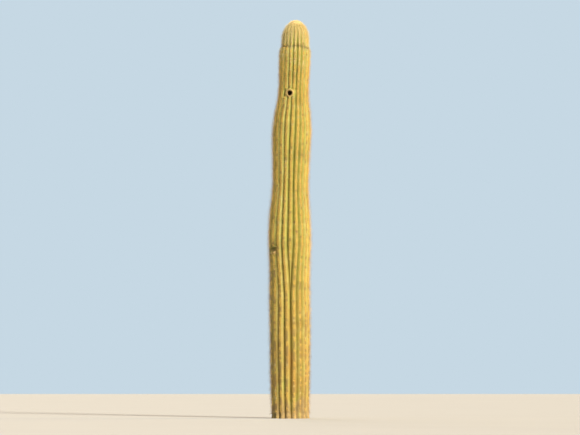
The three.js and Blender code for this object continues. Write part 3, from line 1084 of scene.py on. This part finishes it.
@dataclass(frozen=True)
class Skin:
    """The living skin over the whole column, with everything that marks it."""

    column: Column
    hole: NestHole
    crease: Crease
    points_per_rib: int = 12
    rings_per_areole: int = 4
    swelling: float = 0.003  # under each areole
    notch: float = 0.002  # above each areole
    piece_names: tuple[str, ...] = ("skin_lower", "skin_middle", "skin_upper")
    growth_rings: tuple[GrowthRing, ...] = (
        GrowthRing(3.752, 0.005, 0.015, 0.6, 0.007), GrowthRing(3.43, 0.0015, 0.02, 0.12),
        GrowthRing(3.06, 0.0015, 0.02, 0.1), GrowthRing(2.67, 0.002, 0.025, 0.2),
        GrowthRing(2.3, 0.002, 0.025, 0.12), GrowthRing(1.52, 0.0015, 0.03, 0.1),
        GrowthRing(0.95, 0.0015, 0.03, 0.08),
    )
    scars: tuple[Scar, ...] = (
        Scar(3.618, math.radians(-91), 0.008), Scar(3.51, math.radians(-74.6), 0.008),
    )
    small_scars: int = 44
    scar_seed: int = 23
    foot_height: float = 0.22  # where the corky foot ends
    foot_fade: float = 0.09  # over how much height, up and down, it ends
    bark_fall: Span = (0.6, 0.4)  # where the grey bark ends, and where it is whole
    old_fall: Span = (2.3, 0.4)  # where the old brown skin ends, and where it is whole
    young_rise: Span = (3.80, 3.94)  # where the young pale skin starts, and is whole
    folds: Relief = Relief(((0.0016, 0.05, 5.5, 1), (0.0008, 0.014, 1.7, 1.6)))
    knobs: Relief = Relief(((0.0012, 0.011, 6.1, 0.5), (0.0008, 0.005, 1.2, 1)))
    cork_edge: Relief = Relief(((1.1, 0.05, 9.2, 0.4),))
    bark_cover: Relief = Relief(((0.5, 0.03, 5.1, 1),))
    old_cover: Relief = Relief(((0.5, 0.09, 2.6, 0.5),))
    young_edge: Relief = Relief(((0.02, 0.03, 4.4, 1),))

    @cached_property
    def all_scars(self) -> list[Scar]:
        """Strews small scars over the column.

        Returns:
            The larger scars, and then the small ones.
        """
        rng = np.random.default_rng(self.scar_seed)
        limits = ((0.25, 3.7), (-math.pi, math.pi), (0.0025, 0.0075))  # of height, angle and radius
        places = zip(*(rng.uniform(low, high, self.small_scars) for low, high in limits))
        return [*self.scars, *(Scar(*place) for place in places)]

    def heights(self) -> Array:
        """Spaces the rings of points, closer beside the hole and the crease.

        Returns:
            Their heights, from the ground up.
        """
        most = self.column.count_at(np.array([self.column.top]))[0]
        z = self.column.height_of(np.linspace(0, most, round(most * self.rings_per_areole) + 1))
        finer = ((self.hole.height, 0.075), (self.crease.height, 0.075), (self.crease.height, 0.04))
        for middle, reach in finer:
            between = (z[1:] + z[:-1]) / 2
            z = np.sort(np.concatenate([z, between[np.abs(between - middle) < reach]]))
        return z

    def ribbed(self, z: Array) -> tuple[Array, Array]:
        """The ribs with their growth rings, and the swelling and notch at each areole.

        Args:
            z: the heights of the rings of points.

        Returns:
            Points by ring and by place round it, and how near each is to a crest.
        """
        column = self.column
        angle, half, share = (a[..., None] for a in column.layout(z))
        across = (np.arange(self.points_per_rib) * 2 / self.points_per_rib - 1)[None, None, :]
        count = column.count_at(z)[:, None, None]
        stagger = np.array([column.stagger(rib) for rib in range(column.ribs)])[None, :, None]
        turn = count - stagger - np.round(count - stagger)
        bump = self.swelling * hump(turn, 0.2) * hump(across, 0.32)
        bump = bump - self.notch * hump(turn - 0.36, 0.13) * hump(across, 0.5)
        height = z[:, None, None] + 0 * turn
        waist = sum(ring.depth * ring.nearness(height, angle + half * across) for ring in self.growth_rings)
        points = column.place(angle, half, share, across, height, share * bump - waist)
        crest = share * (1 - across ** 2) + 0 * height
        return points.reshape(len(z), -1, 3), crest.reshape(len(z), -1)

    def grid(self, z: Array) -> tuple[Array, dict[str, Array]]:
        """The skin's points with all their relief.

        Args:
            z: the heights of the rings.

        Returns:
            Points by ring and by place round it, and the values that the finish reads.
        """
        column = self.column
        points, crest = self.ribbed(z)
        level = points[..., 2]
        outwards = unit((points - column.axis(level)) * [1, 1, 0])
        points = points + self.folds.at(points)[..., None] * outwards
        cork_top = self.foot_height * (0.6 + self.cork_edge.at(points))
        cork = 0.85 * smoothstep(level, cork_top + self.foot_fade, cork_top - self.foot_fade)
        points = points + (cork * self.knobs.at(points))[..., None] * outwards
        bark = smoothstep(level, *self.bark_fall) * np.clip(0.55 + self.bark_cover.at(points), 0, 0.8)
        old = np.clip(smoothstep(level, *self.old_fall) * (0.42 + self.old_cover.at(points)), 0, 1)
        young = 0.85 * smoothstep(level + self.young_edge.at(points), *self.young_rise)
        around = column.turn_of(points)
        # The growth rings' middles are painted darker with the skin's shadow colour.
        shade = sum(ring.darkening * ring.nearness(level, around, 1.2) for ring in self.growth_rings)
        for scar in self.all_scars:
            near = scar.nearness(level, around, column.girth.at(scar.height))
            cork = np.maximum(cork, 0.9 * near)
            shade = np.maximum(shade, 0.45 * near)
            points = points - (0.25 * scar.radius * near)[..., None] * outwards
        points, hole_cork = self.hole.carve(points)
        points, crease_cork, crease_shade = self.crease.carve(points)
        cork = np.clip(np.maximum(np.maximum(cork, hole_cork), crease_cork), 0, 1)
        shade = np.clip(np.maximum(shade, crease_shade), 0, 1)
        points[..., 2] = np.maximum(points[..., 2], 0)
        return points, {
            "crest": crest, "cork": cork, "shade": shade, "young": young, "old": old, "bark": bark}

    def build(self, finish: Material) -> list[Object]:
        """Makes the skin as closed lengths that stand on each other.

        Args:
            finish: the living skin.

        Returns:
            The finished pieces, from the ground up.
        """
        z = self.heights()
        points, values = self.grid(z)
        normals = unit(np.cross(np.roll(points, -1, 1) - np.roll(points, 1, 1), np.gradient(points, axis=0)))
        cuts = np.linspace(0, len(z) - 1, len(self.piece_names) + 1).astype(int)
        made = []
        for name, first, last in zip(self.piece_names, cuts[:-1], cuts[1:]):
            part = slice(first, last + 1)
            ends = np.array([points[first].mean(0), points[last].mean(0)])
            surface = Surface.loft(points[part], ends, {key: value[part] for key, value in values.items()},
                                   normals=normals[part])
            made.append(dress(surface.to_object(name, [finish]), "skin", "stem"))
        return made


@dataclass(frozen=True)
class Needle:
    """One kind of spine in a cluster."""

    count: int
    length: float
    base: float  # its radius at the root
    rise: Span  # least and most angle above the skin, in radians
    jitter: float = 0.35  # how far one strays towards the next, as a share of their gap
    spread: Span = (0.75, 1.15)  # least and most length, as shares of the usual one
    bend: float = 0.0  # sideways bow, as a share of its length
    waist: float = 0.62  # how thick its middle is, as a share of its base
    first_turn: float = 0.0

    def splay(self, rng: np.random.Generator, out: Array, aside: Array,
              along: Array) -> tuple[Array, Array, Array, Array]:
        """Deals out the spines of many clusters.

        Args:
            rng: the source of their randomness.
            out: the way out of the skin at each cluster.
            aside: the way round the column.
            along: the way up the rib.

        Returns:
            Each spine's turn, its way along the skin, its own way, and its length.
        """
        shape = (len(out), self.count)
        strayed = np.arange(self.count) + rng.uniform(-self.jitter, self.jitter, shape)
        turn = self.first_turn + strayed * 2 * math.pi / self.count
        rise = rng.uniform(*self.rise, shape)
        flat = np.cos(turn)[..., None] * aside[:, None] + np.sin(turn)[..., None] * along[:, None]
        ways = np.cos(rise)[..., None] * flat + np.sin(rise)[..., None] * out[:, None]
        return turn, flat, ways, self.length * rng.uniform(*self.spread, shape)

    def grow(self, roots: Array, ways: Array, lengths: Array, bows: Array) -> tuple[Array, Array]:
        """Makes three-sided spines, bowed where this kind bends.

        Args:
            roots: where each starts.
            ways: the direction of each.
            lengths: how long each is.
            bows: how far the middle of each is moved.

        Returns:
            Their points and their triangles, those at the tip last in each.
        """
        roots, ways, bows = (a.reshape(-1, 3) for a in (roots, ways, bows))
        reach = ways * lengths.reshape(-1, 1)
        side = unit(np.cross(ways, ASKEW))
        over = np.cross(ways, side)
        turns = np.arange(3) * 2 * math.pi / 3
        ring = np.cos(turns)[None, :, None] * side[:, None] + np.sin(turns)[None, :, None] * over[:, None]
        rows = [roots[:, None] + ring * self.base, (roots + reach)[:, None]]
        pattern = [(0, 2, 1), (0, 1, 3), (1, 2, 3), (2, 0, 3)]
        if self.bend:
            rows.insert(1, (roots + reach * 0.5 + bows)[:, None] + ring * self.base * self.waist)
            pattern = [(0, 2, 1), (0, 1, 4), (0, 4, 3), (1, 2, 5), (1, 5, 4), (2, 0, 3), (2, 3, 5),
                       (3, 4, 6), (4, 5, 6), (5, 3, 6)]
        points = np.concatenate(rows, 1)
        faces = np.array(pattern)[None] + (np.arange(len(roots)) * points.shape[1])[:, None, None]
        return points.reshape(-1, 3), faces.reshape(-1, 3)


@dataclass(frozen=True)
class Areoles:
    """The areoles of the whole column: their felt, and the spines that stand in each."""

    column: Column
    hole: NestHole
    crease: Crease
    dull_ring: GrowthRing  # its spines are short and weathered
    lowest: float = 0.03
    highest: float = 3.982
    least_share: float = 0.7  # the share of a full rib from which a new one bears areoles
    radials: Needle = Needle(17, 0.025, 0.00075, (0.1, 0.6))
    centrals: Needle = Needle(5, 0.043, 0.0011, (0.6, 1.2), bend=0.07, first_turn=-math.pi / 2)
    length_share: Curve = Curve(((0, 0.8), (1.2, 1.0), (3.2, 0.9), (3.7, 0.75), (3.85, 0.7), (3.985, 0.75)))
    felt_size: tuple[float, float, float] = (0.0042, 0.0056, 0.0032)  # half width, half height, thickness
    felt_sides: int = 6
    above_ground: float = 0.003  # no spine reaches lower
    cream_rise: Span = (3.45, 3.87)  # where cream spines start, and are nearly all
    grey_fall: Span = (1.7, 0.2)  # where grey spines start to be more, and are most
    dark_fade: Span = (3.3, 3.8)  # where dark tips start to be fewer, and where there are none
    fresh_rise: Span = (3.3, 3.8)  # where fresh felt starts, and is all
    seed: int = 11

    def of_rib(self, rib: int) -> Array:
        """The heights of a rib's areoles, clear of the hole and the crease.

        Args:
            rib: the rib's place in the order round the column.

        Returns:
            The heights, from the ground up.
        """
        column = self.column
        start = self.lowest
        for new in column.new_ribs:
            if new.place == rib:
                grown = np.linspace(new.start, new.full, 400)
                start = grown[np.argmax(smoothstep(grown, new.start, new.full) > self.least_share)]
        first, last = column.count_at(np.array([start, self.highest]))
        z = column.height_of(np.arange(math.ceil(first), math.floor(last)) + column.stagger(rib) % 1)
        z = z[(z > start) & (z < self.highest)]
        points = self.seats(rib, z)[0]
        return z[self.hole.clear_of(points) & self.crease.clear_of(points)]

    def crest(self, rib: int, z: Array) -> Array:
        """Follows a rib's crest.

        Args:
            rib: the rib's place in the order round the column.
            z: heights.

        Returns:
            The crest's points, with the dull ring's waist.
        """
        angle, half, share = (a[:, rib] for a in self.column.layout(z))
        sunk = self.dull_ring.depth * self.dull_ring.nearness(z, angle)
        return self.column.place(angle, half, share, np.zeros_like(z), z, -sunk)

    def seats(self, rib: int, z: Array) -> tuple[Array, Array, Array, Array]:
        """Where a rib's areoles sit.

        Args:
            rib: the rib's place in the order round the column.
            z: their heights.

        Returns:
            The points on the crest, the way out, the way aside and the way up along the rib.
        """
        points = self.crest(rib, z)
        along = unit(self.crest(rib, z + 10 * MM) - self.crest(rib, z - 10 * MM))
        aside = unit(np.cross([0, 0, 1], points - self.column.axis(z)))
        return points, unit(np.cross(aside, along)), aside, along

    def spray(self, rib: int, z: Array, rng: np.random.Generator) -> Surface:
        """All the spines of a stretch of one rib.

        Args:
            rib: the rib's place in the order round the column.
            z: the heights of its areoles.
            rng: the source of its randomness.

        Returns:
            The spines, with each triangle's tint.
        """
        points, out, aside, along = self.seats(rib, z)
        waist = self.dull_ring.nearness(z, self.column.layout(z)[0][:, rib], 1.2)
        scale = (self.length_share.at(z) * (1 - 0.35 * waist))[:, None]
        tints = self.tints(z, waist, rng)
        parts = []
        for kind in (self.radials, self.centrals):
            turn, flat, ways, lengths = kind.splay(rng, out, aside, along)
            lengths = lengths * scale
            if kind.bend:
                lengths = lengths * np.where(np.sin(turn) < -0.5, 1.15, 0.9)
            roots = points[:, None] + flat * self.felt_size[0] * 0.5 + out[:, None] * 0.0012
            low = roots[..., 2] + ways[..., 2] * lengths < self.above_ground
            ways = np.where(low[..., None], ways * [1, 1, -1], ways)
            bows = kind.bend * lengths[..., None] * (out[:, None] * 0.6 - flat * 0.5)
            made, faces = kind.grow(roots, ways, lengths, bows)
            tint = np.tile(np.repeat(tints, kind.count)[:, None], len(faces) // lengths.size)
            if kind.bend:
                faded = smoothstep(np.repeat(z, kind.count), *self.dark_fade)
                dark = rng.random(lengths.size) < 0.5 * (1 - faded)
                tint[dark, -3:] = SpineTint.DARK_TIP.number
            parts.append((made, faces, tint.ravel()))
        return Surface.joined(parts)

    def tints(self, z: Array, waist: Array, rng: np.random.Generator) -> Array:
        """Deals a tint to each areole's spines by their age.

        Args:
            z: the areoles' heights.
            waist: how near each is to the dull ring.
            rng: the source of the dealing.

        Returns:
            The tint's number for each areole.
        """
        young = smoothstep(z, *self.cream_rise)
        old = smoothstep(z, *self.grey_fall)
        # The shares of the areoles with cream, grey and golden spines. The others' are straw.
        cream = (0.03 + 0.95 * young) * (1 - 0.8 * waist)
        grey = (0.06 + 0.5 * old) * (1 - young) + 0.8 * waist
        gold = 0.45 * (1 - cream - grey)
        drawn = rng.random(len(z))
        return np.select(
            [drawn < cream, drawn < cream + gold, drawn < 1 - grey],
            [SpineTint.CREAM.number, SpineTint.GOLD.number, SpineTint.STRAW.number], SpineTint.GREY.number)

    def build_spines(self, finishes: list[Material]) -> list[Object]:
        """Makes the spines of each rib, in the same stretches as the solids.

        Args:
            finishes: the spine's tints, in order.

        Returns:
            The finished pieces.
        """
        made = []
        for rib in range(self.column.ribs):
            z = self.of_rib(rib)
            names = [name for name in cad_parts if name.startswith(f"spine_row_{rib + 1:02d}")]
            names.sort(key=lambda name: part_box(name)[0].z)
            breaks = [(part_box(a)[1].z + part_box(b)[0].z) / 2 for a, b in zip(names, names[1:])]
            rng = np.random.default_rng(self.seed + rib)
            for name, low, high in zip(names, [0, *breaks], [*breaks, self.column.top]):
                surface = self.spray(rib, z[(z >= low) & (z < high)], rng)
                piece = surface.to_object(name.replace("spine_row", "spines"), finishes, smooth=False)
                made.append(dress(piece, "spines", name))
        return made

    def build_felt(self, finishes: list[Material]) -> Object:
        """Makes the felt cushion of every areole.

        Args:
            finishes: the felt's tints, in order.

        Returns:
            The finished piece.
        """
        sides = self.felt_sides
        turns = np.arange(sides) * 2 * math.pi / sides
        width, height, thick = self.felt_size
        i = np.arange(sides)
        j = (i + 1) % sides
        crown_point = 0 * i + 2 * sides
        underside = np.stack([0 * i, j, i], 1)[1:-1]
        pattern = np.concatenate([
            np.stack([i, j, j + sides], 1), np.stack([i, j + sides, i + sides], 1),
            np.stack([i + sides, j + sides, crown_point], 1), underside])
        rng = np.random.default_rng(self.seed)
        parts = []
        for rib in range(self.column.ribs):
            z = self.of_rib(rib)
            points, out, aside, along = (a[:, None] for a in self.seats(rib, z))
            size = rng.uniform(0.85, 1.15, len(z)) * (1 + 0.5 * smoothstep(z, 3.7, 3.88))
            size = np.minimum(size, self.column.areole_gap.at(z) / (1.7 * height))[:, None, None]
            arms = (np.cos(turns)[:, None] * aside * width + np.sin(turns)[:, None] * along * height) * size
            foot = points + arms - out * 0.0015
            waist = points + arms * 0.66 + out * thick * 0.8
            made = np.concatenate([foot, waist, points + out * thick * 1.15], 1)
            faces = pattern[None] + (np.arange(len(z)) * made.shape[1])[:, None, None]
            drawn = rng.random(len(z)) + 0.35
            fresh = smoothstep(z, *self.fresh_rise)
            tint = np.select([drawn < 1.4 * fresh, drawn < 1.0 + fresh],
                             [FeltTint.FRESH.number, FeltTint.TAN.number], FeltTint.WEATHERED.number)
            parts.append((made.reshape(-1, 3), faces.reshape(-1, 3), np.repeat(tint, len(pattern))))
        rows = [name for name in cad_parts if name.startswith("spine_row_")]
        return dress(Surface.joined(parts).to_object("areole_felt", finishes), "spines", *rows)


@dataclass(frozen=True)
class WoollyTip:
    """The growing tip: a dome of matted tufts with young spines in each."""

    column: Column
    radius: float = 0.064
    height: float = 0.036
    seat: float = 3.9853
    around: int = 110
    tiers: int = 26
    tufts: int = 52
    tuft_size: float = 0.0092
    tuft_height: float = 0.005
    edge_rise: tuple[float, ...] = (0.05, 0.27)  # heights of the two outer rings, as shares of the dome's
    matting: Relief = Relief(((0.0012, 0.004, 2.0, 1), (0.0006, 0.0018, 6.0, 1)))
    spines: Needle = Needle(14, 0.022, 0.0007, (0.35, 1.25), jitter=0.4, spread=(0.6, 1.15))
    highest: float = 4.0505
    seed: int = 5

    @cached_property
    def tuft_places(self) -> tuple[Array, Array]:
        """Spreads the tufts over the dome, with two rings of them round its edge.

        Returns:
            The middle of each tuft, and the way out of the dome there.
        """
        n = np.arange(self.tufts)
        crests = self.column.layout(np.array([self.seat]))[0][0]
        turn = np.concatenate([n * GOLDEN_ANGLE, crests, crests + math.pi / self.column.ribs])
        rise = np.repeat(self.edge_rise, self.column.ribs)
        inner = np.sqrt((n + 0.5) / self.tufts) * 0.88
        share = np.concatenate([inner, np.sqrt(1 - rise ** 2)])
        rise = np.sqrt(1 - share ** 2)
        flat = np.stack([np.cos(turn) * share, np.sin(turn) * share], -1)
        points = np.concatenate([flat * self.radius, (rise * self.height)[:, None]], 1)
        out = unit(np.concatenate([flat / self.radius, (rise / self.height)[:, None]], 1))
        return points + self.column.axis(self.seat), out

    def build_wool(self, finish: Material) -> Object:
        """Makes the dome of tufts, closed underneath.

        Args:
            finish: the tip wool.

        Returns:
            The finished piece.
        """
        turn = np.arange(self.around) * 2 * math.pi / self.around
        tier = (np.arange(self.tiers) * math.pi / 2 / self.tiers)[:, None]
        flat = np.stack([
            np.cos(tier) * np.cos(turn), np.cos(tier) * np.sin(turn), np.sin(tier) + 0 * turn], -1)
        centre = self.column.axis(self.seat)
        points = flat * [self.radius, self.radius, self.height] + centre
        outwards = unit(flat / [self.radius, self.radius, self.height])
        gap = np.linalg.norm(points[:, :, None] - self.tuft_places[0], axis=-1).min(-1)
        tuft = np.maximum(1 - (gap / self.tuft_size) ** 2, 0)
        rise = self.tuft_height * tuft + self.matting.at(points)
        rise[0] = 0
        points = points + rise[..., None] * outwards
        points[0, :, 2] = self.seat
        ends = centre + [[0, 0, 0], [0, 0, self.height + 0.5 * self.tuft_height]]
        # The hollows between tufts carry painted shade.
        surface = Surface.loft(points, ends, {"hollow": (1 - tuft) ** 2}, (1, 0))
        return dress(surface.to_object("tip_wool", [finish]), "wool", "woolly_tip")

    def build_spines(self, finishes: list[Material]) -> Object:
        """Makes the young spines that stand out of the tufts.

        Args:
            finishes: the spine's tints, in order.

        Returns:
            The finished piece.
        """
        rng = np.random.default_rng(self.seed)
        middles, out = self.tuft_places
        aside = unit(np.cross(out, [0.2, 0.1, 0.97]))
        _, flat, ways, lengths = self.spines.splay(rng, out, aside, np.cross(out, aside))
        roots = middles[:, None] + 0.002 * flat + 0.001 * out[:, None]
        lengths = np.minimum(lengths, (self.highest - roots[..., 2]) / np.maximum(ways[..., 2], 1e-6))
        ways = np.where((ways[..., 2] < -0.2)[..., None], ways * [1, 1, -0.3], ways)
        points, faces = self.spines.grow(roots, unit(ways), lengths, 0 * ways)
        tint = rng.choice([SpineTint.CREAM.number, SpineTint.GOLD.number], lengths.size, p=[0.8, 0.2])
        surface = Surface(points, [faces], np.repeat(tint, len(faces) // lengths.size))
        return dress(surface.to_object("tip_spines", finishes, smooth=False), "spines", "woolly_tip")


@dataclass(frozen=True)
class Lamp:
    """A broad far lamp, as even from the plant's foot to its tip as daylight."""

    name: str
    azimuth: float  # degrees to the camera's right
    elevation: float
    spread: float  # degrees across, as the plant sees it
    strength: float
    colour: str

    def build(self) -> Object:
        """Makes the lamp.

        Returns:
            The lamp, turned so that its light comes from its azimuth and elevation.
        """
        data = bpy.data.lights.new(self.name, "SUN")
        data.angle = math.radians(self.spread)
        data.energy = self.strength
        data.color = linear(self.colour)[:3]
        lamp = bpy.data.objects.new(self.name, data)
        turn, lift = math.radians(self.azimuth), math.radians(self.elevation)
        way = Vector((math.sin(turn) * math.cos(lift), -math.cos(turn) * math.cos(lift), math.sin(lift)))
        lamp.location = way * 10
        lamp.rotation_euler = way.to_track_quat("Z", "Y").to_euler()
        bpy.context.scene.collection.objects.link(lamp)
        return lamp


@dataclass(frozen=True)
class Studio:
    """A plain pale floor and soft light, seen by a long lens from just above the ground."""

    floor_half: float = 60.0
    backdrop: str = "#c6d8e4"
    backdrop_strength: float = 1.0
    ambient: str = "#fff0d6"
    ambient_strength: float = 0.42
    eye_height: float = 0.35
    eye_distance: float = 26.0
    shown_height: float = 4.4
    picture_shape: float = 580 / 435  # width over height
    farthest: float = 500.0
    lamps: tuple[Lamp, ...] = (
        Lamp("key", 34, 23, 11, 7.1, "#ffedc9"),
        Lamp("rim", 98, 15, 25, 3.5, "#ffbd66"),
        Lamp("fill", 205, 25, 50, 1.7, "#fff0dc"),
    )

    def build_floor(self, finish: Material) -> Object:
        """Makes the floor.

        Args:
            finish: the painted board.

        Returns:
            The floor.
        """
        corners = np.array([(-1, -1, 0), (1, -1, 0), (1, 1, 0), (-1, 1, 0)]) * self.floor_half
        floor = Surface(corners, [np.array([(0, 1, 2, 3)])]).to_object("floor", [finish], smooth=False)
        return floor

    def build_world(self) -> None:
        """Makes the pale surroundings, dimmer as a light than as a backdrop."""
        world = bpy.data.worlds.new("pale_room")
        bpy.context.scene.world = world
        world.use_nodes = True
        tree = world.node_tree
        tree.nodes.clear()
        seen = add_node(tree, "ShaderNodeLightPath", {}, {}).outputs["Is Camera Ray"]
        light, view = (
            add_node(tree, "ShaderNodeBackground", {}, {"Color": linear(colour), "Strength": strength})
            for colour, strength in (
                (self.ambient, self.ambient_strength), (self.backdrop, self.backdrop_strength)))
        mixed = add_node(tree, "ShaderNodeMixShader", {}, {
            0: seen, 1: light.outputs["Background"], 2: view.outputs["Background"]})
        add_node(tree, "ShaderNodeOutputWorld", {}, {"Surface": mixed.outputs["Shader"]})

    def build_camera(self, target: Vector) -> Object:
        """Makes the camera, level with the plant's foot and looking slightly up.

        Args:
            target: the plant's middle.

        Returns:
            The camera.
        """
        data = bpy.data.cameras.new("camera")
        camera = bpy.data.objects.new("camera", data)
        bpy.context.scene.collection.objects.link(camera)
        camera.location = (target.x, -self.eye_distance, self.eye_height)
        back = camera.location - target
        camera.rotation_euler = back.to_track_quat("Z", "Y").to_euler()
        data.lens = data.sensor_width * back.length / (self.shown_height * self.picture_shape)
        data.clip_end = self.farthest
        bpy.context.scene.camera = camera
        return camera


def main() -> None:
    """Builds every piece in order, then the studio round it."""
    logging.basicConfig(level=logging.INFO, format="%(name)s: %(message)s")
    bpy.context.scene.view_settings.view_transform = "Standard"
    column = Column()
    hole = NestHole(column)
    crease = Crease(column)
    skin = Skin(column, hole, crease)
    areoles = Areoles(column, hole, crease, skin.growth_rings[0])
    tip = WoollyTip(column)
    spine_finishes = [DrySpine(tint).material() for tint in SpineTint]

    skin.build(LivingSkin().material())
    hole.build(ScarCork().material())
    areoles.build_felt([AreoleFelt(tint).material() for tint in FeltTint])
    areoles.build_spines(spine_finishes)
    tip.build_wool(TipWool().material())
    tip.build_spines(spine_finishes)

    studio = Studio()
    studio.build_floor(PaleBoard().material())
    studio.build_world()
    studio.build_camera((CAD_BOX[0] + CAD_BOX[1]) / 2)
    for lamp in studio.lamps:
        lamp.build()


if __name__ == "__main__":
    main()
